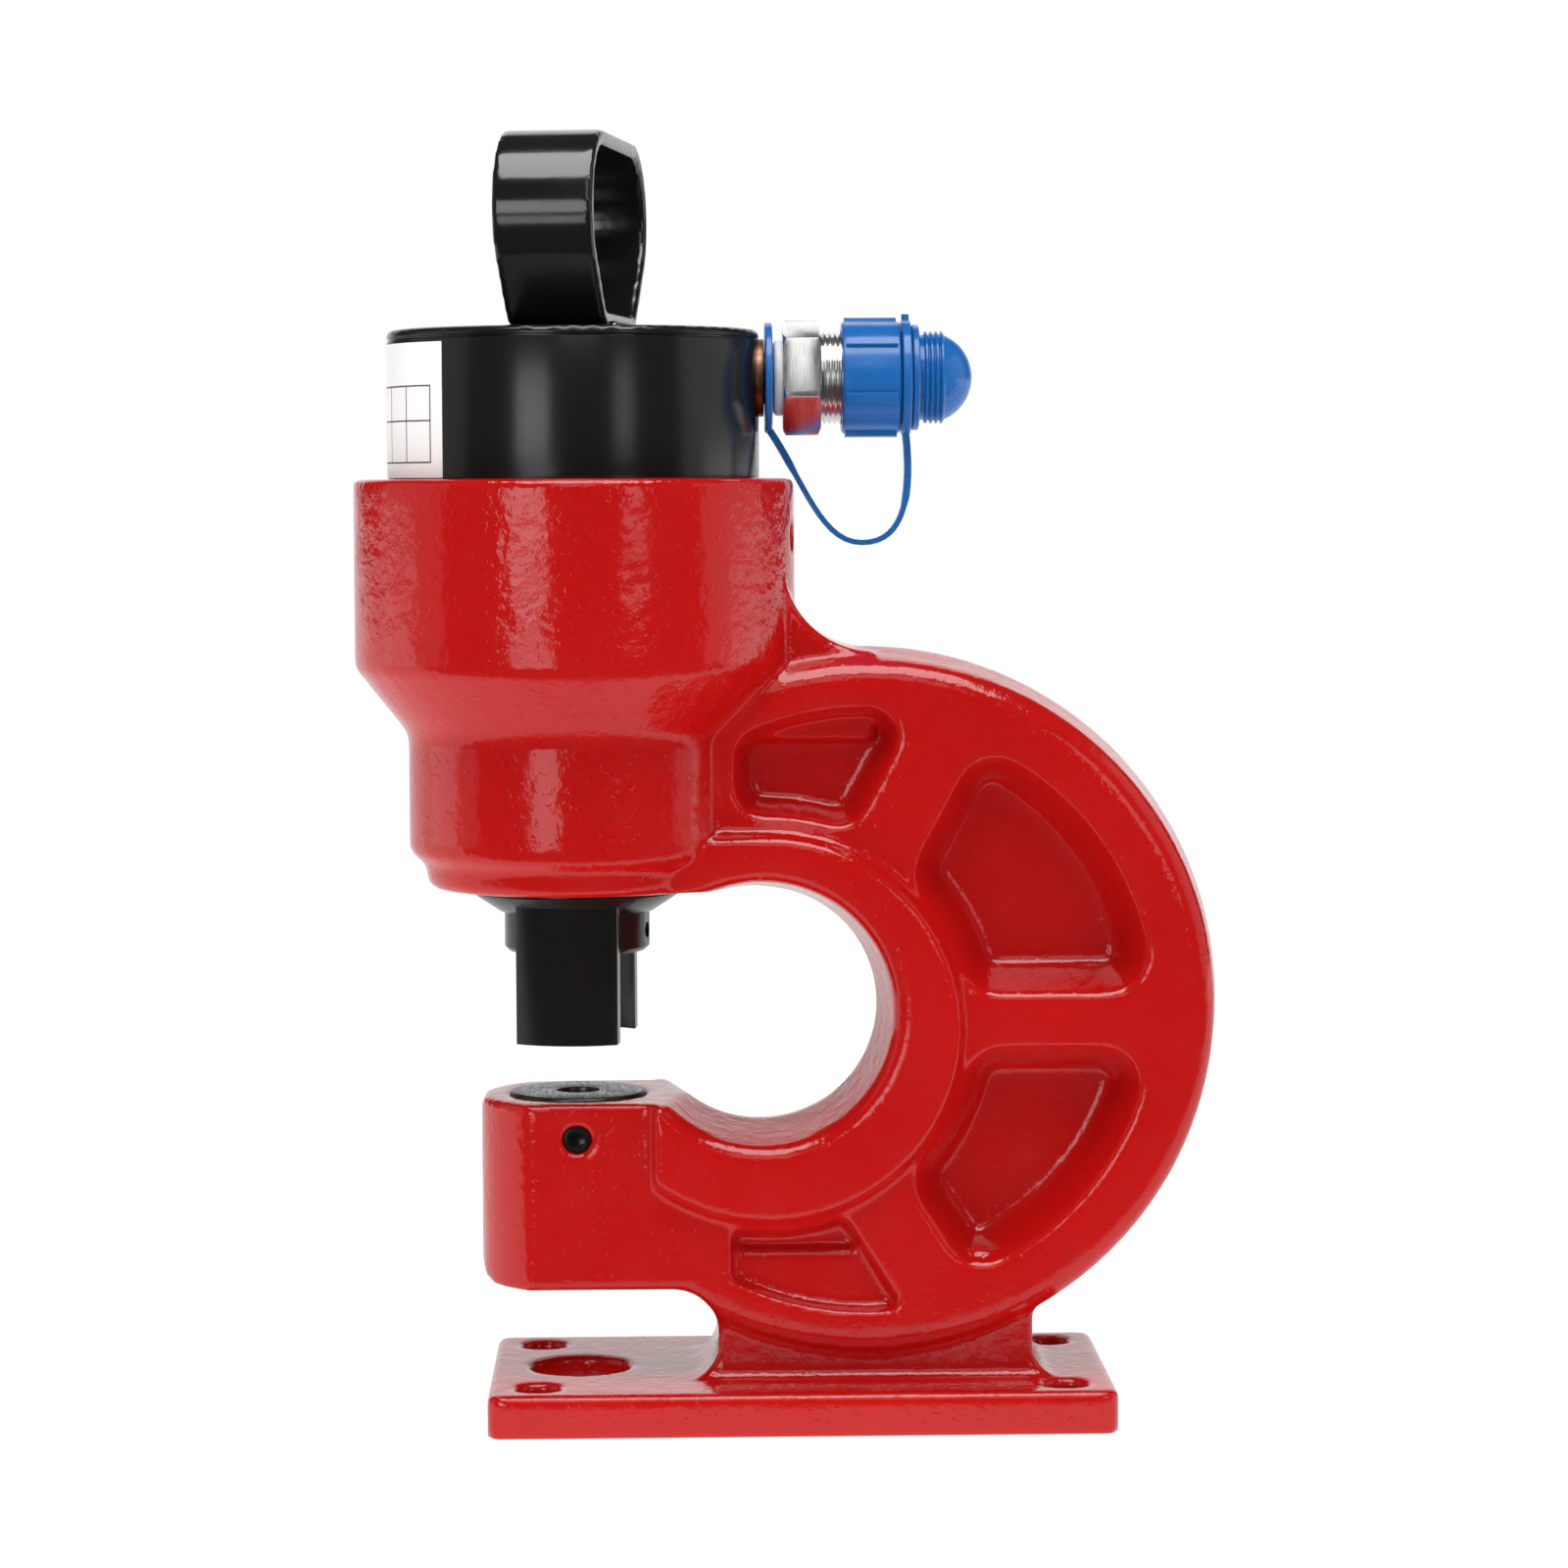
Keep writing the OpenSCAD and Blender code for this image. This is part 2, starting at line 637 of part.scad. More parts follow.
// Die: a hard ring with a land at the cutting edge and a relieved slug hole
module die() {
    land = 5;
    color("#2b2b2d")
        rotate_extrude()
            polygon([[die_hole_r + 1.6, die_z0], [die_r - 1, die_z0], [die_r, die_z0 + 1],
                [die_r, die_z1 - 0.6], [die_r - 0.6, die_z1], [die_hole_r, die_z1],
                [die_hole_r, die_z1 - land], [die_hole_r + 1.6, die_z1 - land - 3]]);
}

module die_screw() {
    color("#151515")
        translate([0, 0, die_screw_z])
            rotate([0, 0, -90]) set_screw(die_r + 0.1, plate_y - 1.6, die_screw_r - seat, 5);
}

// Outline of the handle strap in its own plane: level top, bulging sides, narrow foot
HANDLE = [[-handle_foot / 2, 0], [handle_foot / 2, 0], [handle_span / 2, handle_h / 2],
    [handle_grip / 2, handle_h], [-handle_grip / 2, handle_h], [-handle_span / 2, handle_h / 2]];
HANDLE_R = [14, 14, 24, 24, 24, 24];

module handle() {
    color("#161616")
        translate([0, 0, cap_z1 + seat])
            rotate([0, 0, -handle_turn])
                along_x(-handle_w / 2, handle_w / 2)
                    difference() {
                        polygon(rounded(HANDLE, HANDLE_R));
                        polygon(rounded(inset(HANDLE, handle_t),
                            [for (r = HANDLE_R) r - handle_t]));
                    }
}

// Welds: a row of beads on each side of the handle's foot
module handle_welds() {
    beads = 9;
    pitch = 4;
    bead_r = 2.3;
    color("#2a2a2c")
        translate([0, 0, cap_z1 + 0.06])
            rotate([0, 0, -handle_turn])
                for (s = [-1, 1])
                    intersection() {
                        union() {
                            for (i = [0:beads - 1])
                                translate([s * (handle_w / 2 + 0.06),
                                    (i - (beads - 1) / 2) * pitch, 0])
                                    sphere(r = bead_r + 0.3 * (i % 2), $fn = 20);
                        }
                        translate([s > 0 ? handle_w / 2 + 0.06 : -handle_w / 2 - 10.06, -far, 0])
                            cube([10, 2 * far, 10]);
                    }
}

module port_washer() {
    color("peru")
        turned_x([[neck_r + 0.2, spot_x + seat], [12.2, spot_x + seat],
            [12.2, spot_x + washer_t], [neck_r + 0.2, spot_x + washer_t]]);
}

module thread_tape() {
    color("white")
        turned_x([[neck_r + seat, tape_x], [11, tape_x], [11.9, tape_x + 0.8],
            [11.9, hex_x - seat], [neck_r + seat, hex_x - seat]]);
}

// Crests of a thread as [radius, X] points from x0 to x1
function crests(x0, x1, r, depth, n) =
    [for (i = [0:n - 1]) for (s = [0:3])
        [r - (s == 0 || s == 3 ? depth : 0), x0 + (x1 - x0) * (i + [0, 0.3, 0.6, 0.9][s]) / n]];

// Coupler: a hex nipple whose thread takes the pump hose, with the valve seat in its mouth
module coupler_body() {
    hex_turn = -11;
    valve_r = poppet_r + loose;
    mouth_r = poppet_mouth_r + loose;
    flat_r = hex_af / 2 + 0.8;
    corner_r = hex_af / 2 + 2.5;
    color("silver")
    difference() {
        union() {
            turned_x([[0, spot_x - 16], [neck_r - 0.8, spot_x - 16], [neck_r, spot_x - 14],
                [neck_r, hex_x], [0, hex_x]]);
            intersection() {
                translate([hex_x, 0, port_z])
                    rotate([0, 90, 0])
                        rotate([0, 0, hex_turn])
                            cylinder(h = hex_l, d = hex_af / cos(30), $fn = 6);
                turned_x([[0, hex_x - 1], [flat_r, hex_x - 1], [flat_r, hex_x],
                    [corner_r, hex_x + 1], [corner_r, thread_x - 1], [flat_r, thread_x],
                    [flat_r, thread_x + 1], [0, thread_x + 1]]);
            }
            turned_x(concat([[0, thread_x - 1], [thread_r - 1, thread_x - 1]],
                crests(thread_x + 0.6, mouth_x - 1, thread_r, 0.9, 12),
                [[thread_r - 1, mouth_x], [0, mouth_x]]));
        }
        turned_x([[0, spot_x - 17], [4, spot_x - 17], [4, valve_x0], [valve_r, valve_x0],
            [valve_r, valve_x1 - 3], [mouth_r, valve_x1], [mouth_r, mouth_x + 1],
            [0, mouth_x + 1]]);
    }
}

// Valve: a coned poppet that the hose pushes in
module coupler_poppet() {
    stem_x = valve_x0 + poppet_stroke + 1;
    back = 0.3;
    color("gainsboro")
        turned_x([[0, stem_x], [3, stem_x], [3, poppet_x], [poppet_r, poppet_x],
            [poppet_r, valve_x1 - 3 - back], [poppet_mouth_r, valve_x1 - back],
            [poppet_mouth_r, mouth_x - loose], [0, mouth_x - loose]]);
}

// Points of a coil of n turns from z0 to z1, eight to a turn
function coil_path(r, z0, z1, n) =
    [for (i = [0:8 * n]) [r * cos(45 * i), r * sin(45 * i), z0 + (z1 - z0) * i / (8 * n)]];

// A coil as one unbroken six-sided tube
module coil(r, wire, z0, z1, n) {
    path = coil_path(r, z0, z1, n);
    last = len(path) - 1;
    points = [for (i = [0:last]) for (j = [0:5])
        let (a = 45 * i, out = [cos(a), sin(a), 0])
        path[i] + wire * (cos(60 * j) * out + sin(60 * j) * [0, 0, 1])];
    sides = [for (i = [0:last - 1]) for (j = [0:5]) for (t = [0, 1])
        let (a = 6 * i + j, b = 6 * i + (j + 1) % 6)
        t == 0 ? [a, a + 6, b] : [b, a + 6, b + 6]];
    gap = min([for (i = [0:last - 8]) for (k = [-1, 0, 1])
        let (j = min(i + 8 + k, last)) j - i < 6 ? 1000 : norm(path[j] - path[i])]) - 2 * wire;
    echo(str("least gap between the curls, mm: ", gap));
    polyhedron(points, concat(sides, [[for (j = [0:5]) j]],
        [[for (j = [5:-1:0]) 6 * last + j]]), convexity = 8);
}

module poppet_spring() {
    wire = 0.6;
    turns = 5;
    color("silver")
        translate([0, 0, port_z])
            rotate([0, 90, 0])
                coil(poppet_r - 2.2, wire, valve_x0 + wire + spring_gap,
                    poppet_x - wire - spring_gap, turns);
}

// Cubic curve through the strap's hand-set points
function bezier(p, t) = pow(1 - t, 3) * p[0] + 3 * t * pow(1 - t, 2) * p[1]
    + 3 * t * t * (1 - t) * p[2] + pow(t, 3) * p[3];

// Strap: a moulded band that hangs between a ring on the neck and a ring on the dust cap
module strap() {
    ring1_r = 17.4;
    ring2_r = dust_r + 0.6;
    hang = 52;
    tab = 0.55;
    x0 = ring1_x + ring1_t / 2;
    x1 = groove_x + loose + ring2_t / 2;
    z0 = port_z - ring1_r + 1.5;
    z1 = port_z - ring2_r + 1.5;
    low = port_z - hang;
    first = [[x0, z0], [x0 + 11.4, z0 - 17], [x0 + 16.4, low], [x0 + 29.5, low]];
    second = [[x0 + 29.5, low], [x1 - 2, low], [x1 + 2.6, low + 11], [x1, z1]];
    line = concat([for (i = [0:13]) bezier(first, i / 14)], [for (i = [0:14]) bezier(second, i / 14)]);
    last = len(line) - 1;
    turn = [for (i = [0:last]) let (d = unit(line[min(i + 1, last)] - line[max(i - 1, 0)]))
        [-d[1], d[0]]];
    half = [for (i = [0:last]) strap_t / 2 + (i < 4 || i > last - 6 ? tab * 0.5 : 0)];
    color("royalblue") {
        turned_x([[neck_r + loose, ring1_x], [ring1_r - 0.4, ring1_x], [ring1_r, ring1_x + 0.4],
            [ring1_r, ring1_x + ring1_t - 0.4], [ring1_r - 0.4, ring1_x + ring1_t],
            [neck_r + loose, ring1_x + ring1_t]]);
        turned_x([[thread_r + loose, groove_x + loose], [ring2_r - 0.4, groove_x + loose],
            [ring2_r, groove_x + loose + 0.4], [ring2_r, groove_x + loose + ring2_t - 0.4],
            [ring2_r - 0.4, groove_x + loose + ring2_t],
            [thread_r + loose, groove_x + loose + ring2_t]]);
        translate([x1, 0, port_z + ring2_r - 0.5]) cylinder(h = 2.2, r = 1.2, $fn = 24);
        along_y(-strap_w / 2, strap_w / 2)
            polygon(concat([for (i = [0:last]) line[i] + half[i] * turn[i]],
                [for (i = [last:-1:0]) line[i] - half[i] * turn[i]]));
    }
}

// Dust cap: a ribbed sleeve over the thread, a groove for the strap, and a domed male plug
module dust_cap() {
    ribs = 6;
    rib_w = 3.4;
    rib_up = 1.2;
    rib_turn = 22;
    flange_l = 2.2;
    neck_l = 1.5;
    plug_l = 6.7;
    dome_l = 8.8;
    plug_x = flange_x + flange_l + neck_l;
    dome_x = plug_x + plug_l;
    dome_in = 1.2;
    dome_base = thread_r - dome_in;
    dome_r = (dome_base * dome_base + dome_l * dome_l) / (2 * dome_l);
    dome_a = asin(dome_base / dome_r);
    color("dodgerblue")
    difference() {
        union() {
            turned_x(concat([[0, dust_x + 1], [dust_in_r - 1, dust_x], [dust_r - 0.6, dust_x],
                [dust_r, dust_x + 0.6], [dust_r, groove_x - 0.6], [dust_r - 0.6, groove_x],
                [thread_r, groove_x], [thread_r, flange_x], [dust_r - 1.4, flange_x],
                [dust_r - 1, flange_x + 0.4], [dust_r - 1, flange_x + flange_l - 0.4],
                [dust_r - 1.4, flange_x + flange_l], [thread_r - 1.1, flange_x + flange_l],
                [thread_r - 1.1, plug_x]], crests(plug_x, dome_x, thread_r, 1.1, 4),
                [for (i = [0:9]) let (a = dome_a * (1 - i / 9))
                    [dome_r * sin(a), dome_x + dome_l - dome_r + dome_r * cos(a)]]));
            for (i = [0:ribs - 1])
                translate([dust_x + 1, 0, port_z])
                    rotate([rib_turn + i * 360 / ribs, 0, 0])
                        translate([0, dust_r - 1, -rib_w / 2])
                            cube([dust_body_l - 2, 1 + rib_up, rib_w]);
        }
        turned_x([[0, dust_x - 1], [dust_in_r, dust_x - 1], [dust_in_r, mouth_x + 2.4],
            [0, mouth_x + 2.4]]);
    }
}

module dust_cap_liner() {
    color("#303030")
        turned_x([[0, mouth_x + 0.35], [dust_in_r - 0.1, mouth_x + 0.35],
            [dust_in_r - 0.1, mouth_x + 2.35], [0, mouth_x + 2.35]]);
}

module piston() {
    color("lightsteelblue")
    difference() {
        rotate_extrude()
            polygon([[stud_r + seat, piston_z0], [bore_r - 1.4, piston_z0],
                [bore_r - run, piston_z0 + 1.4], [bore_r - run, piston_z1 - 1.4],
                [bore_r - 1.4, piston_z1], [stud_r + seat, piston_z1]]);
        translate([0, 0, piston_seal_z - 0.1])
            rotate_extrude() translate([bore_r - piston_seal_t - run, 0])
                square([10, piston_seal_h + 0.2]);
        translate([0, 0, guide_ring_z - 0.1])
            rotate_extrude() translate([bore_r - guide_ring_t - run, 0])
                square([10, guide_ring_h + 0.2]);
    }
}

// Seal: a U-shaped lip ring that opens towards the oil
module piston_seal() {
    in_r = bore_r - piston_seal_t;
    out_r = bore_r - run;
    mid = (in_r + out_r) / 2;
    color("seagreen")
        translate([0, 0, piston_seal_z])
            rotate_extrude()
                polygon([[in_r, 0], [out_r, 0], [out_r, piston_seal_h], [mid + 0.7, piston_seal_h],
                    [mid, piston_seal_h - 3], [mid - 0.7, piston_seal_h], [in_r, piston_seal_h]]);
}

module piston_guide_ring() {
    color("tan")
        translate([0, 0, guide_ring_z])
            rotate_extrude()
                translate([bore_r - guide_ring_t, 0]) square([guide_ring_t - run, guide_ring_h]);
}

module ram() {
    stud_z1 = piston_z1 + piston_nut_h + 2;
    color("gainsboro")
        rotate_extrude()
            polygon([[0, ram_end_z], [ram_thread_r - 1, ram_end_z], [ram_thread_r, ram_end_z + 1],
                [ram_thread_r, nut_z1 + 0.2], [ram_r - 1, nut_z1 + 0.2], [ram_r, nut_z1 + 1.2],
                [ram_r, piston_z0 - seat], [stud_r, piston_z0 - seat], [stud_r, stud_z1 - 1],
                [stud_r - 1, stud_z1], [0, stud_z1]]);
}

module piston_nut() {
    color("dimgray")
        translate([0, 0, piston_z1 + seat])
            difference() {
                cylinder(h = piston_nut_h, r = stud_r * 1.45, $fn = 6);
                translate([0, 0, -1]) cylinder(h = piston_nut_h + 2, r = stud_r + seat);
            }
}

// Punch nut: a round nut with four pin holes, which clamps the punch's head to the ram
module punch_nut() {
    pin_z = nut_z0 + 6.5;
    pin_turn = -14;
    color("#1e1e20")
    difference() {
        rotate_extrude()
            polygon([[punch_r + 0.6, nut_z0], [nut_r - 1.4, nut_z0], [nut_r, nut_z0 + 1.4],
                [nut_r, nut_z1 - 1], [nut_r - 1, nut_z1], [ram_thread_r + seat, nut_z1],
                [ram_thread_r + seat, nut_z0 + nut_floor], [punch_r + 0.6, nut_z0 + nut_floor]]);
        for (i = [0:3])
            rotate([0, 0, pin_turn + 90 * i])
                translate([nut_r - 4, 0, pin_z])
                    rotate([0, 90, 0]) cylinder(h = 6, r = 2.5, $fn = 32);
    }
}

module punch() {
    head_z = nut_z0 + nut_floor + seat;
    color("slategray")
        rotate_extrude()
            polygon([[0, punch_tip_z + 1], [punch_r - 1, punch_tip_z + 0.3], [punch_r, punch_tip_z],
                [punch_r, head_z], [punch_head_r, head_z], [punch_head_r, ram_end_z - seat],
                [0, ram_end_z - seat]]);
}

module return_spring() {
    color("silver")
        coil((bore_r + ram_r) / 2 + 1, wire_r, guide_z1 + wire_r + spring_gap,
            piston_z0 - wire_r - spring_gap, coils);
}

frame_casting();
cylinder_cap();
cap_seal();
cap_lock_screw();
rod_guide();
rod_wiper();
stripper();
die();
die_screw();
handle();
handle_welds();
port_washer();
thread_tape();
coupler_body();
coupler_poppet();
poppet_spring();
strap();
dust_cap();
dust_cap_liner();
piston();
piston_seal();
piston_guide_ring();
ram();
piston_nut();
punch_nut();
punch();
return_spring();
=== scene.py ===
# %% [markdown]
# A hydraulic hole punch, dressed for a studio picture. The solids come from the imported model:
# they have the right size and place already, so this file gives them their surfaces, rounds
# their edges, and adds what is too thin or too soft for a machined solid.
#
# The script starts by loading the model. Everything is in metres: X runs from the punch to the
# back of the C, Y away from the camera, and Z up. The origin lies under the punch.

# %% Load the model
import json
import math

import bpy
from mathutils import Matrix, Vector


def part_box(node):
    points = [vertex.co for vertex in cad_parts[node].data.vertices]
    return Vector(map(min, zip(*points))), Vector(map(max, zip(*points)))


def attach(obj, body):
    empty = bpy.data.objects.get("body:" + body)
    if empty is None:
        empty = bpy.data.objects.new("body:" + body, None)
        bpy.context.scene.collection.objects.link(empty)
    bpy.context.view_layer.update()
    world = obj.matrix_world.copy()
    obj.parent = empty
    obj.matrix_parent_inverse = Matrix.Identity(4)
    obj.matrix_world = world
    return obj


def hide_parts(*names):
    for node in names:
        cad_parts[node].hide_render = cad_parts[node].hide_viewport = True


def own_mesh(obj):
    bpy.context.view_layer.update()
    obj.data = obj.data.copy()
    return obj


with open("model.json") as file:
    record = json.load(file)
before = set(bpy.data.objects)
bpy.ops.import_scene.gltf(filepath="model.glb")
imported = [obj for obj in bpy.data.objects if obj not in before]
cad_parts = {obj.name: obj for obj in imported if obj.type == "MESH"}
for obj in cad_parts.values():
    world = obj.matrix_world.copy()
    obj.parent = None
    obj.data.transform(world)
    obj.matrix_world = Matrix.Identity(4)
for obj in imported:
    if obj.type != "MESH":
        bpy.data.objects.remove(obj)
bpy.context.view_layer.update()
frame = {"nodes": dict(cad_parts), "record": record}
NODES = frame["nodes"]
RECORD = frame["record"]
MM = 0.001

# %% [markdown]
# The label is stuck on between the top of the barrel and the top of the cap. Both heights and
# the cap's radius are read from the boxes of the nodes, so the label follows the model when its
# sizes change.

# %% Sizes that the label follows
cap_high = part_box("cylinder_cap")[1]
CAP_RADIUS, CAP_TOP = cap_high[0], cap_high[2]
BARREL_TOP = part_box("frame_casting")[1][2]
print("cap top", round(CAP_TOP, 4), "cap radius", round(CAP_RADIUS, 4))
print("barrel top", round(BARREL_TOP, 4))

# %% [markdown]
# The picture was taken with a long lens from about 1.4 m away, level with the top of the barrel
# and looking a little down. The camera's place and tilt were found by fitting the edges of the
# base, the barrel and the cap. A long lens keeps the upright lines of the barrel parallel, as
# in a catalogue picture.

# %% Camera
CAMERA_PLACE = (0.02938, -1.3975, 0.29270)
CAMERA_PITCH = math.radians(3.814)
CAMERA_YAW = math.radians(1.499)
CAMERA_ROLL = math.radians(0.25)
LENS_MM, SENSOR_MM = 101.25, 36
FARTHEST = 50

camera_data = bpy.data.cameras.new("camera")
camera_data.sensor_width = SENSOR_MM
camera_data.lens = LENS_MM
camera_data.clip_end = FARTHEST
camera = bpy.data.objects.new("camera", camera_data)
bpy.context.scene.collection.objects.link(camera)
camera.matrix_world = (
    Matrix.Translation(CAMERA_PLACE)
    @ Matrix.Rotation(-CAMERA_YAW, 4, "Z")
    @ Matrix.Rotation(math.radians(90) - CAMERA_PITCH, 4, "X")
    @ Matrix.Rotation(-CAMERA_ROLL, 4, "Z")
)
bpy.context.scene.camera = camera
looks_along = camera.matrix_world.to_3x3() @ Vector((0, 0, -1))
print("camera looks along", [round(v, 3) for v in looks_along])

# %% [markdown]
# A material is a small graph of nodes. These helpers keep the graphs short: one adds a node,
# one joins two of them, and one makes a material with its shader. Noise is fixed to the object,
# grading turns it into a range of values or colours, and a bump turns it into height. Patterns
# read Object coordinates, which stay put when the piece moves, because every piece has its
# place in its mesh.

# %% Material helpers
def new_material(name, colour, roughness, metallic=0.0):
    """A material with one shader, whose even values sit on the shader's own sockets."""
    material = bpy.data.materials.new(name)
    material.use_nodes = True
    shader = material.node_tree.nodes["Principled BSDF"]
    shader.inputs["Base Color"].default_value = (*colour, 1)
    shader.inputs["Roughness"].default_value = roughness
    shader.inputs["Metallic"].default_value = metallic
    return material, shader


def add(owner, kind, **inputs):
    """A node of a kind for a material or a world, with values for its inputs by name."""
    node = owner.node_tree.nodes.new(kind)
    for key, value in inputs.items():
        node.inputs[key.replace("_", " ")].default_value = value
    return node


def join(owner, output, socket):
    """Links one node's output to another node's input."""
    owner.node_tree.links.new(output, socket)


def even_tone(value):
    """A grey value or a colour as the four numbers that a colour socket takes."""
    return (value, value, value, 1) if isinstance(value, float) else (*value, 1)


def vary(material, shader, socket, value):
    """Lets a graded value drive one of the shader's sockets."""
    join(material, value, shader.inputs[socket])


def object_noise(material, scale, detail=2.0, stretch=(1, 1, 1)):
    """Noise in the object's own space. Stretch squeezes it along an axis."""
    place = add(material, "ShaderNodeTexCoord")
    mapping = add(material, "ShaderNodeMapping")
    mapping.inputs["Scale"].default_value = stretch
    noise = add(material, "ShaderNodeTexNoise", Scale=scale, Detail=detail)
    join(material, place.outputs["Object"], mapping.inputs["Vector"])
    join(material, mapping.outputs["Vector"], noise.inputs["Vector"])
    return noise.outputs["Fac"]


def grade(material, value, low, high, start=0.3, end=0.7):
    """Maps a grey value from start to end onto low to high, which may be numbers or colours."""
    ramp = add(material, "ShaderNodeValToRGB")
    first, last = ramp.color_ramp.elements
    first.position, last.position = start, end
    first.color, last.color = even_tone(low), even_tone(high)
    join(material, value, ramp.inputs["Fac"])
    return ramp.outputs["Color"]


def raise_by(material, shader, value, height, strength=1.0, before=None):
    """Bumps the surface by a height in metres where the value is 1, on top of a bump before."""
    bump = add(material, "ShaderNodeBump", Distance=height, Strength=strength)
    join(material, value, bump.inputs["Height"])
    if before:
        join(material, before.outputs["Normal"], bump.inputs["Normal"])
    join(material, bump.outputs["Normal"], shader.inputs["Normal"])
    return bump


print("material helpers ready")

# %% [markdown]
# The casting is sprayed with a thick gloss red over a sand-cast skin. Four things tell paint
# on a casting from red plastic: a slow swell left by the mould, a fine orange peel in the
# paint, specks of dust in it, and a gloss that changes a little from place to place. Swell,
# peel and specks are noise at three scales, one bump on top of the other. The peel comes in
# patches, because its strength follows a slower noise.

# %% Red casting paint
RED = (0.365, 0.004, 0.0035)
DARK_RED, LIGHT_RED = (0.345, 0.0035, 0.003), (0.385, 0.0045, 0.004)
SWELL_HEIGHT, PEEL_HEIGHT, SPECK_HEIGHT = 0.6 * MM, 0.24 * MM, 0.10 * MM

red_paint, shader = new_material("red_casting_paint", RED, 0.12)
tone = grade(red_paint, object_noise(red_paint, scale=14, detail=3), DARK_RED, LIGHT_RED)
vary(red_paint, shader, "Base Color", tone)
gloss = grade(red_paint, object_noise(red_paint, scale=60, detail=3), 0.08, 0.15)
vary(red_paint, shader, "Roughness", gloss)
waves = object_noise(red_paint, scale=95)
swell = raise_by(red_paint, shader, waves, SWELL_HEIGHT, strength=0.55)
ripples = object_noise(red_paint, scale=290)
peel = raise_by(red_paint, shader, ripples, PEEL_HEIGHT, before=swell)
patches = grade(red_paint, object_noise(red_paint, scale=22), 0.2, 0.8, start=0.42, end=0.62)
join(red_paint, patches, peel.inputs["Strength"])
dust = object_noise(red_paint, scale=520, detail=1)
specks = grade(red_paint, dust, 0.0, 1.0, start=0.60, end=0.72)
raise_by(red_paint, shader, specks, SPECK_HEIGHT, strength=0.5, before=peel)
print("paint:", len(red_paint.node_tree.nodes), "nodes")

# %% [markdown]
# The black parts are three different finishes. The cap is turned steel under a satin black
# lacquer, so its tool marks run round it as fine level rings. The stripper, the punch nut
# and the set screws are black oxide, a dark and slightly patchy skin. The handle has gloss
# lacquer over rolled strip.

# %% Black finishes
LACQUER = (0.007, 0.0065, 0.006)
OXIDE = (0.006, 0.005, 0.005)
DARK_OXIDE, LIGHT_OXIDE = (0.0055, 0.0045, 0.0045), (0.0065, 0.0055, 0.005)

black_cap, shader = new_material("black_turned_cap", LACQUER, 0.26)
rings = object_noise(black_cap, scale=60, stretch=(0.4, 0.4, 40))
vary(black_cap, shader, "Roughness", grade(black_cap, rings, 0.18, 0.22))
raise_by(black_cap, shader, rings, 0.008 * MM, strength=0.5)

black_oxide, shader = new_material("black_oxide", OXIDE, 0.24)
shader.inputs["Specular IOR Level"].default_value = 0.45
mottle = object_noise(black_oxide, scale=160, detail=4)
vary(black_oxide, shader, "Base Color", grade(black_oxide, mottle, DARK_OXIDE, LIGHT_OXIDE))
gloss = grade(black_oxide, object_noise(black_oxide, scale=200, detail=3), 0.20, 0.24)
vary(black_oxide, shader, "Roughness", gloss)
raise_by(black_oxide, shader, object_noise(black_oxide, scale=300), 0.02 * MM, strength=0.4)

black_gloss, shader = new_material("black_gloss_lacquer", LACQUER, 0.2)
shader.inputs["Specular IOR Level"].default_value = 0.7
gloss = grade(black_gloss, object_noise(black_gloss, scale=90, detail=3), 0.12, 0.17)
vary(black_gloss, shader, "Roughness", gloss)
raise_by(black_gloss, shader, object_noise(black_gloss, scale=130), 0.08 * MM, strength=0.3)
print("black finishes: cap, oxide, gloss")

# %% [markdown]
# Bare metals differ mostly in colour and in how rough they are. One helper makes them all: a
# fine noise mottles the colour, and a stretched noise is the grain that grinding or turning
# leaves, which shows in the gloss and as shallow grooves.

# %% Bare metals
def bare_metal(name, colour, dark, roughness, grain=(1, 1, 12), groove=0.03 * MM):
    """A bare metal that varies between two tones, with grain across the stretched axis."""
    material, shader = new_material(name, colour, roughness, metallic=1.0)
    tone = grade(material, object_noise(material, scale=110, detail=4), dark, colour)
    vary(material, shader, "Base Color", tone)
    streaks = object_noise(material, scale=140, detail=3, stretch=grain)
    gloss = grade(material, streaks, roughness * 0.75, roughness * 1.3)
    vary(material, shader, "Roughness", gloss)
    raise_by(material, shader, streaks, groove, strength=0.5)
    return material


ground_steel = bare_metal("ground_steel", (0.58, 0.58, 0.60), (0.42, 0.42, 0.44), 0.26)
tool_steel = bare_metal("dark_tool_steel", (0.12, 0.12, 0.12), (0.05, 0.05, 0.05), 0.34,
                        grain=(9, 1, 1))
zinc = bare_metal("zinc_plate", (0.86, 0.86, 0.84), (0.76, 0.76, 0.74), 0.2,
                  grain=(14, 1, 1), groove=0.006 * MM)
spring_steel = bare_metal("spring_steel", (0.50, 0.50, 0.52), (0.32, 0.32, 0.34), 0.3)
bronze = bare_metal("bronze", (0.55, 0.36, 0.15), (0.40, 0.24, 0.09), 0.3)
copper = bare_metal("washer_copper", (0.42, 0.22, 0.13), (0.22, 0.11, 0.07), 0.38)
METALS = (ground_steel, tool_steel, zinc, spring_steel, bronze, copper)
print("bare metals:", [m.name for m in METALS])

# %% [markdown]
# The cap on the port and its strap are moulded in one soft blue plastic. Such plastic lets a
# little light in, so its shadows stay blue instead of turning black. The seals are plain
# rubber, and the guide ring is a hard filled plastic.

# %% Plastics and rubber
LIGHT_REACH = (0.6 * MM, 1.2 * MM, 3 * MM)


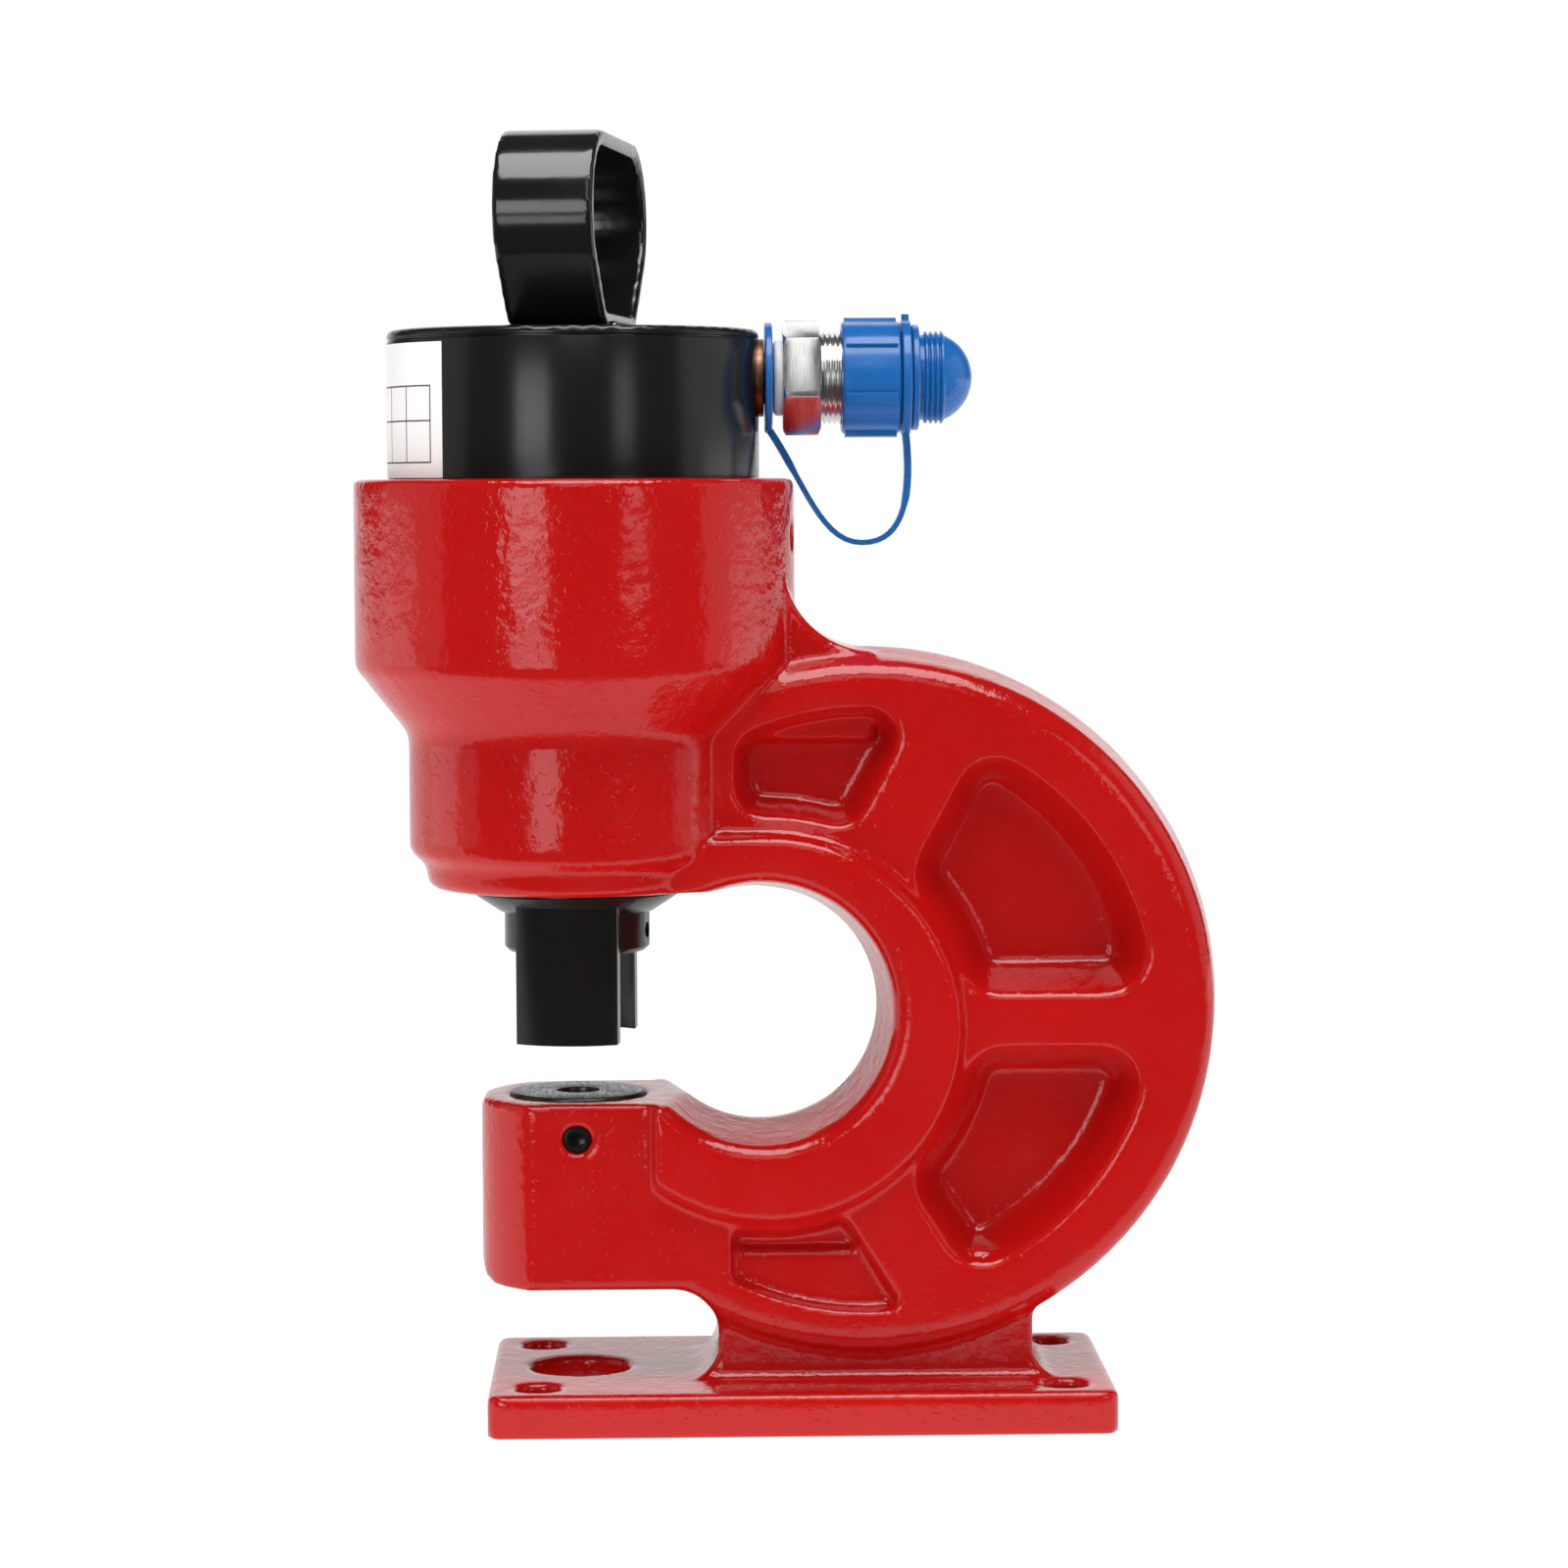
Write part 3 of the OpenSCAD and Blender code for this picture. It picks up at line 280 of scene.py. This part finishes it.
def plastic(name, colour, roughness, glow=0.0, peel=0.04 * MM):
    """A moulded plastic or rubber with a faint skin texture. Glow is how much light gets in."""
    material, shader = new_material(name, colour, roughness)
    if glow:
        shader.inputs["Subsurface Weight"].default_value = glow
        shader.inputs["Subsurface Radius"].default_value = LIGHT_REACH
    clouds = object_noise(material, scale=260, detail=3)
    gloss = grade(material, clouds, roughness * 0.8, roughness * 1.25)
    vary(material, shader, "Roughness", gloss)
    raise_by(material, shader, object_noise(material, scale=700), peel, strength=0.5)
    return material


blue_plastic = plastic("blue_moulded_plastic", (0.007, 0.105, 0.35), 0.22, glow=0.1)
black_rubber = plastic("black_rubber", (0.02, 0.02, 0.021), 0.6)
seal_green = plastic("seal_green", (0.03, 0.20, 0.12), 0.5)
guide_tan = plastic("guide_ring_tan", (0.42, 0.30, 0.16), 0.55)
ptfe_white = plastic("white_sealing_ring", (0.78, 0.78, 0.76), 0.45, glow=0.1)
PLASTICS = (blue_plastic, black_rubber, seal_green, guide_tan, ptfe_white)
print("plastics:", [m.name for m in PLASTICS])

# %% [markdown]
# Every solid gets its finish by name. The record says which finish each node has, so the
# table below goes from the record's slots to the materials.

# %% Finish every solid
FINISHES = {
    "red_paint": red_paint, "black_cap": black_cap, "black_oxide": black_oxide,
    "tool_steel": tool_steel, "black_gloss": black_gloss, "zinc": zinc,
    "spring_steel": spring_steel, "steel": ground_steel, "bronze": bronze, "copper": copper,
    "black_rubber": black_rubber, "seal_green": seal_green, "guide_tan": guide_tan,
    "ptfe_white": ptfe_white, "blue_plastic": blue_plastic,
}
SLOT_OF = {part["node"]: part["material_slot"] for part in RECORD["subparts"]}


def dress(piece, material):
    """Gives a piece one material."""
    piece.data.materials.clear()
    piece.data.materials.append(material)


for name, solid in NODES.items():
    dress(solid, FINISHES[SLOT_OF[name]])
print("finished:", len(SLOT_OF), "solids")

# %% [markdown]
# A machined solid has mathematically sharp edges, and no real part does. Light catches a
# rounded edge as a thin bright line, which is much of what makes a picture of metal look
# real. These helpers copy a solid, merge its loose triangles, round its edges or run it
# together into one even skin, and let the copy stand for the solid.

# %% Helpers that copy a solid and soften it
MERGE_WITHIN = 0.02 * MM
FLAT_WITHIN = math.radians(1)
ROUND_ABOVE = math.radians(30)
SMOOTH_BELOW = math.radians(35)


def body_name(node):
    """The body that a node belongs to."""
    bodies = RECORD["behaviour"]["bodies"]
    return next(body for body, members in bodies.items() if node in members)


def choose(piece):
    """Selects one piece alone."""
    bpy.ops.object.select_all(action="DESELECT")
    bpy.context.view_layer.objects.active = piece
    piece.select_set(True)


def edit_all(piece):
    """Selects one piece alone, in edit mode, with everything in it selected."""
    choose(piece)
    bpy.ops.object.mode_set(mode="EDIT")
    bpy.ops.mesh.select_all(action="SELECT")


def new_piece(name):
    """Names the piece that was just added and moves its place and turn into its mesh."""
    piece = bpy.context.active_object
    piece.name = name
    bpy.ops.object.transform_apply(location=True, rotation=True, scale=True)
    return piece


def merged_copy(node, name):
    """A copy of a solid's mesh as an object of its own, with its triangles joined up."""
    piece = bpy.data.objects.new(name, NODES[node].data.copy())
    bpy.context.scene.collection.objects.link(piece)
    edit_all(piece)
    bpy.ops.mesh.remove_doubles(threshold=MERGE_WITHIN)
    bpy.ops.mesh.dissolve_limited(angle_limit=FLAT_WITHIN)
    bpy.ops.object.mode_set(mode="OBJECT")
    return piece


def apply_modifier(piece, kind, **settings):
    """Adds a modifier with its settings and applies it."""
    modifier = piece.modifiers.new(kind.lower(), kind)
    for key, value in settings.items():
        setattr(modifier, key, value)
    choose(piece)
    bpy.ops.object.modifier_apply(modifier=modifier.name)


def stand_for(piece, node):
    """The piece moves with the node's body and replaces it."""
    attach(piece, body_name(node))
    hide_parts(node)


def rounded(node, name, width):
    """A solid's copy with every sharp edge rounded by a width in mm."""
    piece = merged_copy(node, name)
    apply_modifier(piece, "BEVEL", width=width * MM, segments=2, limit_method="ANGLE",
                   angle_limit=ROUND_ABOVE, use_clamp_overlap=True)
    bpy.ops.object.shade_smooth_by_angle(angle=SMOOTH_BELOW)
    stand_for(piece, node)
    return piece


def run_together(node, name, voxel, rounds, keep=1.0, material=None):
    """A solid's copy as an even skin of squares, voxel mm wide, smoothed a number of rounds."""
    piece = merged_copy(node, name)
    apply_modifier(piece, "REMESH", mode="VOXEL", voxel_size=voxel * MM)
    apply_modifier(piece, "SMOOTH", factor=0.5, iterations=rounds)
    if keep < 1:
        apply_modifier(piece, "DECIMATE", ratio=keep)
    bpy.ops.object.shade_smooth()
    if material:
        dress(piece, material)
    stand_for(piece, node)
    return piece


print("softening helpers ready")

# %% [markdown]
# The casting is a different matter, because sand casting leaves no sharp corner at all. Ribs
# flow into the rim, pockets have soft floors, and the barrel grows out of the arm. Rounding
# edges one by one can't do that. A voxel remesh can: it turns the solid into an even skin of
# small squares, and smoothing that skin melts every inner and outer corner by the same amount.
# Its flat areas need fewer faces than its corners, so the skin is thinned out at the end.

# %% Cast skin of the frame
skin = run_together("frame_casting", "frame_cast_skin", voxel=1.4, rounds=5, keep=0.55)
print("cast skin:", sum(len(p.vertices) - 2 for p in skin.data.polygons), "triangles")

# %% [markdown]
# The machined parts keep their shape and only lose their sharp edges. The width of each
# rounding, in millimetres, follows the part: the cap and the stripper are turned and lightly
# chamfered, the hexagon is a little sharper, and the blue moulding has the soft edges that a
# mould leaves.

# %% Rounded copies of the machined and moulded parts
ROUNDED = {
    "cylinder_cap": ("cap_turned", 0.35), "stripper": ("stripper_turned", 0.45),
    "punch_nut": ("punch_nut_turned", 0.3),
    "die": ("die_ground", 0.25), "coupler_body": ("coupler_hex", 0.18),
    "thread_tape": ("sealing_ring", 0.4), "port_washer": ("washer_edge", 0.25),
    "dust_cap": ("dust_cap_moulded", 0.35), "strap": ("strap_moulded", 0.4),
    "cap_lock_screw": ("lock_screw_edge", 0.15), "die_screw": ("die_screw_edge", 0.15),
}
for node, (name, width) in ROUNDED.items():
    piece = rounded(node, name, width)
    print(name, len(piece.data.polygons), "faces")

# %% [markdown]
# The handle is a strip bent into a loop under gloss lacquer. In a mirror-like finish every
# facet of a bend shows as a kink in the highlight, so the loop is remeshed too, and smoothed
# for much longer than the casting until its bends are even.

# %% Handle strip
strip = run_together("handle", "handle_strip", voxel=0.7, rounds=24)
print("handle strip:", len(strip.data.polygons), "faces")

# %% [markdown]
# The weld at the handle's foot is a row of overlapping puddles. Each puddle froze before the
# next one was laid, so the row has ripples but no sharp valleys. A fine voxel remesh runs the
# balls of the solid together, and smoothing rounds the valleys.

# %% Weld beads
weld_metal = bare_metal("weld_metal", (0.45, 0.45, 0.45), (0.08, 0.08, 0.08), 0.2)
welds = run_together("handle_welds", "handle_weld_beads", voxel=0.3, rounds=4,
                     material=weld_metal)
print("welds:", len(welds.data.polygons), "faces")

# %% [markdown]
# Two springs work inside, one under the piston and one behind the poppet. Each is wound as a
# round
# wire: a circle that a screw modifier carries round the axis. The springs and their axes are
# read from the joints that press them in the record. The coil stays rigid, so at full stroke it
# would go through the piston.

# %% Springs wound in the boxes of their nodes
WINDINGS = {"return_spring": (2.4 * MM, 4), "poppet_spring": (0.6 * MM, 5)}
WIRE_SIDES, STEPS_PER_TURN = 14, 40


def wound_spring(node, name, wire, turns, axis):
    """A wire of a radius, wound a number of times in the box of a spring's node."""
    low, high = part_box(node)
    along = "XYZ".index(axis)
    middle_z = (low[2] + high[2]) / 2
    radius = (high[1] - low[1]) / 2 - wire
    start = low[along] + wire
    pitch = (high[along] - low[along] - 2 * wire) / turns
    place = (radius, 0, start) if axis == "Z" else (start, 0, radius)
    bpy.ops.object.select_all(action="DESELECT")
    bpy.ops.mesh.primitive_circle_add(vertices=WIRE_SIDES, radius=wire, location=place,
                                      rotation=(math.radians(90), 0, 0))
    piece = new_piece(name)
    apply_modifier(piece, "SCREW", axis=axis, screw_offset=pitch, iterations=turns,
                   steps=STEPS_PER_TURN, render_steps=STEPS_PER_TURN)
    edit_all(piece)
    bpy.ops.mesh.fill_holes(sides=WIRE_SIDES)
    bpy.ops.mesh.normals_make_consistent(inside=False)
    if axis == "X":
        bpy.ops.transform.translate(value=(0, 0, middle_z))
    bpy.ops.object.mode_set(mode="OBJECT")
    bpy.ops.object.shade_smooth_by_angle(angle=SMOOTH_BELOW)
    dress(piece, spring_steel)
    stand_for(piece, node)
    return piece


for joint in RECORD["behaviour"]["joints"]:
    for pressed in joint.get("deforming_nodes", []):
        node, axis = pressed["node"], pressed["mode"][-1].upper()
        wire, turns = WINDINGS[node]
        piece = wound_spring(node, node + "_wound", wire, turns, axis)
        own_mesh(piece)

# %% [markdown]
# A white vinyl label wraps round the left of the cap. Vinyl is a thin sheet that follows the
# steel, so it is cut from a tube that is a hair wider than the cap: the tube's faces outside
# the label's corners are deleted, and the rest gets a thickness. Its print is left out, apart
# from the empty rules of its table.

# %% Label, a sheet that wraps round the cap
TUBE_SIDES = 720


def wrapped_sheet(name, start, end, low, high, radius, thickness, material):
    """A piece of a tube between two angles in degrees and two heights in metres."""
    bpy.ops.object.select_all(action="DESELECT")
    bpy.ops.mesh.primitive_cylinder_add(vertices=TUBE_SIDES, radius=radius, depth=high - low,
                                        location=(0, 0, (low + high) / 2),
                                        end_fill_type="NOTHING")
    piece = new_piece(name)
    bpy.ops.object.mode_set(mode="EDIT")
    bpy.ops.mesh.select_mode(type="FACE")
    bpy.ops.mesh.select_all(action="DESELECT")
    bpy.ops.object.mode_set(mode="OBJECT")
    for face in piece.data.polygons:
        turn = math.degrees(math.atan2(face.center.y, face.center.x)) % 360
        face.select = not start < turn < end
    bpy.ops.object.mode_set(mode="EDIT")
    bpy.ops.mesh.delete(type="FACE")
    bpy.ops.object.mode_set(mode="OBJECT")
    apply_modifier(piece, "SOLIDIFY", thickness=thickness, offset=1)
    bpy.ops.object.shade_smooth_by_angle(angle=SMOOTH_BELOW)
    dress(piece, material)
    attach(piece, "frame")
    return piece


vinyl = plastic("label_vinyl", (0.78, 0.765, 0.755), 0.35, peel=0.01 * MM)
LABEL_START, LABEL_END = 152, 228
LABEL_LOW, LABEL_HIGH = BARREL_TOP + 0.4 * MM, CAP_TOP - 4.5 * MM
GAP, VINYL = 0.03 * MM, 0.12 * MM
label = wrapped_sheet("cap_label", LABEL_START, LABEL_END, LABEL_LOW, LABEL_HIGH,
                      CAP_RADIUS + GAP, VINYL, vinyl)
print("label:", LABEL_END - LABEL_START, "degrees,", len(label.data.polygons), "faces")

# %% [markdown]
# The table has three level rules and six upright ones, which make five columns. They are thin
# sheets on top of the vinyl, joined into one piece.

# %% Rules of the label's table
ink = plastic("label_ink", (0.02, 0.02, 0.02), 0.5, peel=0.01 * MM)
TABLE_START, TABLE_END = LABEL_START + 5, LABEL_END - 5
TABLE_LOW, TABLE_HIGH = LABEL_LOW + 4.5 * MM, LABEL_LOW + 28 * MM
TABLE_MID = TABLE_LOW + 12.8 * MM
RULE_WIDTH, RULE_TURN = 0.45 * MM, 0.5
COLUMNS = 5
COLUMN_TURN = (TABLE_END - TABLE_START - RULE_TURN) / COLUMNS

rule_boxes = [(TABLE_START, TABLE_END, height, height + RULE_WIDTH)
              for height in (TABLE_LOW, TABLE_MID, TABLE_HIGH)]
for column in range(COLUMNS + 1):
    turn = TABLE_START + COLUMN_TURN * column
    rule_boxes.append((turn, turn + RULE_TURN, TABLE_LOW, TABLE_HIGH + RULE_WIDTH))
rules = [wrapped_sheet("rule", *box, CAP_RADIUS + GAP + VINYL, 0.02 * MM, ink)
         for box in rule_boxes]
choose(rules[0])
for rule in rules:
    rule.select_set(True)
bpy.ops.object.join()
label_rules = bpy.context.active_object
label_rules.name = "label_rules"
print("label rules:", len(label_rules.data.polygons), "faces")

# %% [markdown]
# The floor and the world answer each kind of light ray in its own way. These helpers keep that
# short to write: one clears a graph and one ends it, and the others add a place, a range, a
# calculation, a glow, a sum or a choice, and return the output that the next node takes.

# %% Helpers for the stage
def empty_graph(owner):
    """Clears the graph of a material or a world."""
    owner.use_nodes = True
    owner.node_tree.nodes.clear()


def finish_graph(owner, kind, shader):
    """Ends the graph with an output node."""
    out = add(owner, kind)
    join(owner, shader, out.inputs["Surface"])


def place_in(owner, space):
    """The X and the Y of the place that is shaded. In a world it is a direction."""
    place = add(owner, "ShaderNodeTexCoord")
    split = add(owner, "ShaderNodeSeparateXYZ")
    join(owner, place.outputs[space], split.inputs["Vector"])
    return split.outputs["X"], split.outputs["Y"]


def spread(owner, value, start, end, low, high):
    """Maps a value from start to end onto low to high."""
    node = add(owner, "ShaderNodeMapRange", From_Min=start, From_Max=end,
               To_Min=low, To_Max=high)
    join(owner, value, node.inputs["Value"])
    return node.outputs["Result"]


def reckon(owner, operation, *values):
    """The result of one operation on one or two values."""
    node = add(owner, "ShaderNodeMath")
    node.operation = operation
    for socket, value in zip(node.inputs, values):
        join(owner, value, socket)
    return node.outputs["Value"]


def glow_of(owner, strength):
    """A white glow whose strength follows a value."""
    node = add(owner, "ShaderNodeEmission")
    join(owner, strength, node.inputs["Strength"])
    return node.outputs["Emission"]


def together(owner, first, second):
    """Two shaders added up."""
    node = add(owner, "ShaderNodeAddShader")
    join(owner, first, node.inputs[0])
    join(owner, second, node.inputs[1])
    return node.outputs["Shader"]


def choice(owner, condition, otherwise, then):
    """One shader where the condition is 0 and another where it is 1."""
    node = add(owner, "ShaderNodeMixShader")
    join(owner, condition, node.inputs["Fac"])
    join(owner, otherwise, node.inputs[1])
    join(owner, then, node.inputs[2])
    return node.outputs["Shader"]


print("stage helpers ready")

# %% [markdown]
# The stage is a pale floor that runs far out behind. It glows for the camera, so that it meets
# the white background, and still takes the shadow under the base. A mirror ray meets it white
# under the base and behind it, which gives the pale sheen in the photo, and dark in front, so
# that black stays black. The light that it throws up on the tool fades in front too.

# %% Floor
FLOOR_SIZE = 40
FLOOR_HEIGHT = -0.3 * MM
MIRROR_DARK_TO, MIRROR_WHITE_FROM = -0.16, -0.10
BOUNCE_DIM_TO, BOUNCE_FULL_FROM = -0.45, -0.12

bpy.ops.object.select_all(action="DESELECT")
bpy.ops.mesh.primitive_plane_add(size=FLOOR_SIZE, location=(0, 0, FLOOR_HEIGHT))
floor = bpy.context.active_object
floor.name = "floor"

floor_white = bpy.data.materials.new("floor_white")
empty_graph(floor_white)
rays = add(floor_white, "ShaderNodeLightPath")
depth = place_in(floor_white, "Object")[1]

plain = add(floor_white, "ShaderNodeBsdfDiffuse", Color=even_tone(0.92))
brightness = spread(floor_white, depth, BOUNCE_DIM_TO, BOUNCE_FULL_FROM, low=0.1, high=1.0)
lit = together(floor_white, plain.outputs["BSDF"], glow_of(floor_white, brightness))

# The glow and the shade add up to white in full light, and to a pale grey in a shadow.
shade = add(floor_white, "ShaderNodeBsdfDiffuse", Color=even_tone(0.22))
paper = add(floor_white, "ShaderNodeEmission", Color=even_tone(0.90))
pictured = together(floor_white, shade.outputs["BSDF"], paper.outputs["Emission"])

sheen = spread(floor_white, depth, MIRROR_DARK_TO, MIRROR_WHITE_FROM, low=0.04, high=0.85)
mirrored = glow_of(floor_white, sheen)
seen = choice(floor_white, rays.outputs["Is Camera Ray"], lit, pictured)
finish_graph(floor_white, "ShaderNodeOutputMaterial",
             choice(floor_white, rays.outputs["Is Glossy Ray"], seen, mirrored))
floor.data.materials.append(floor_white)
print("floor ready:", len(floor_white.node_tree.nodes), "nodes")

# %% [markdown]
# The world is white for the camera. Its soft light comes from the sides and from behind, as
# from a light tent. A mirror ray finds it dark, except straight behind the tool, so that black
# stays black in front and only the rims catch white.

# %% Background
ROOM_DARK_TO, ROOM_WHITE_FROM = 0.80, 0.95
TENT_DIM_TO, TENT_BRIGHT_FROM = 0.2, 0.9

studio = bpy.data.worlds.new("studio")
bpy.context.scene.world = studio
empty_graph(studio)
rays = add(studio, "ShaderNodeLightPath")
sideways, depth = place_in(studio, "Generated")

white = add(studio, "ShaderNodeBackground", Color=even_tone(1.0))
room = add(studio, "ShaderNodeBackground")
darkness = grade(studio, depth, 0.045, 1.0, start=ROOM_DARK_TO, end=ROOM_WHITE_FROM)
join(studio, darkness, room.inputs["Color"])
soft = add(studio, "ShaderNodeBackground")
outwards = reckon(studio, "MAXIMUM", reckon(studio, "ABSOLUTE", sideways), depth)
tent = spread(studio, outwards, TENT_DIM_TO, TENT_BRIGHT_FROM, low=0.05, high=0.9)
join(studio, tent, soft.inputs["Color"])

through = reckon(studio, "MAXIMUM", rays.outputs["Is Glossy Ray"],
                 rays.outputs["Is Transmission Ray"])
unseen = choice(studio, through, soft.outputs["Background"], room.outputs["Background"])
finish_graph(studio, "ShaderNodeOutputWorld",
             choice(studio, rays.outputs["Is Camera Ray"], unseen, white.outputs["Background"]))
print("background ready:", len(studio.node_tree.nodes), "nodes")

# %% [markdown]
# The lamps are soft rectangles, and each has one job that can be read in the photo. A large
# panel overhead lights every face that points up and puts the upper glow on the handle. Two
# upright strips left and right of the camera draw the bright bands on the barrel, and end at
# the height where those bands fade. A low card on the left carries its band on further down.
# One panel in front and one behind light the two upper faces of the hexagon, and one on each
# side lights the edges of the silhouette.

# %% Lamps
def panel(name, place, target, size, brightness):
    """A soft rectangular lamp that faces a point. A brightness of 1 looks white in a mirror."""
    width, height = size
    data = bpy.data.lights.new(name, "AREA")
    data.shape = "RECTANGLE"
    data.size, data.size_y = width, height
    data.energy = brightness * math.pi * width * height
    lamp = bpy.data.objects.new(name, data)
    bpy.context.scene.collection.objects.link(lamp)
    aim = (Vector(target) - Vector(place)).to_track_quat("-Z", "Y")
    lamp.matrix_world = Matrix.Translation(place) @ aim.to_matrix().to_4x4()


panel("left_side", (-1.25, 0.05, 0.55), (0, 0.05, 0.30), size=(1.15, 1.3), brightness=0.35)
panel("right_side", (1.40, 0.05, 0.55), (0, 0.05, 0.30), size=(1.15, 1.3), brightness=0.5)
panel("left_strip", (-0.64, -1.45, 0.46), (0, 0, 0.36), size=(0.55, 0.47), brightness=3.0)
panel("right_strip", (0.86, -1.40, 0.50), (0, 0, 0.36), size=(0.34, 0.50), brightness=1.5)
panel("left_low", (-0.34, -0.95, 0.11), (0, 0, 0.20), size=(0.34, 0.20), brightness=2.0)
panel("front_high", (0.12, -1.55, 1.25), (0.08, 0, 0.36), size=(0.75, 0.75), brightness=1.1)
panel("back_high", (0.1, 1.5, 1.4), (0.05, 0, 0.3), size=(1.2, 0.6), brightness=1.1)
panel("overhead", (0.1, -0.50, 1.55), (0.05, -0.1, 0.2), size=(1.3, 1.0), brightness=5.8)

# %% [markdown]
# The last step sets the plain colour transform and updates the scene.

# %% Colour transform and update
bpy.context.scene.view_settings.view_transform = "Standard"
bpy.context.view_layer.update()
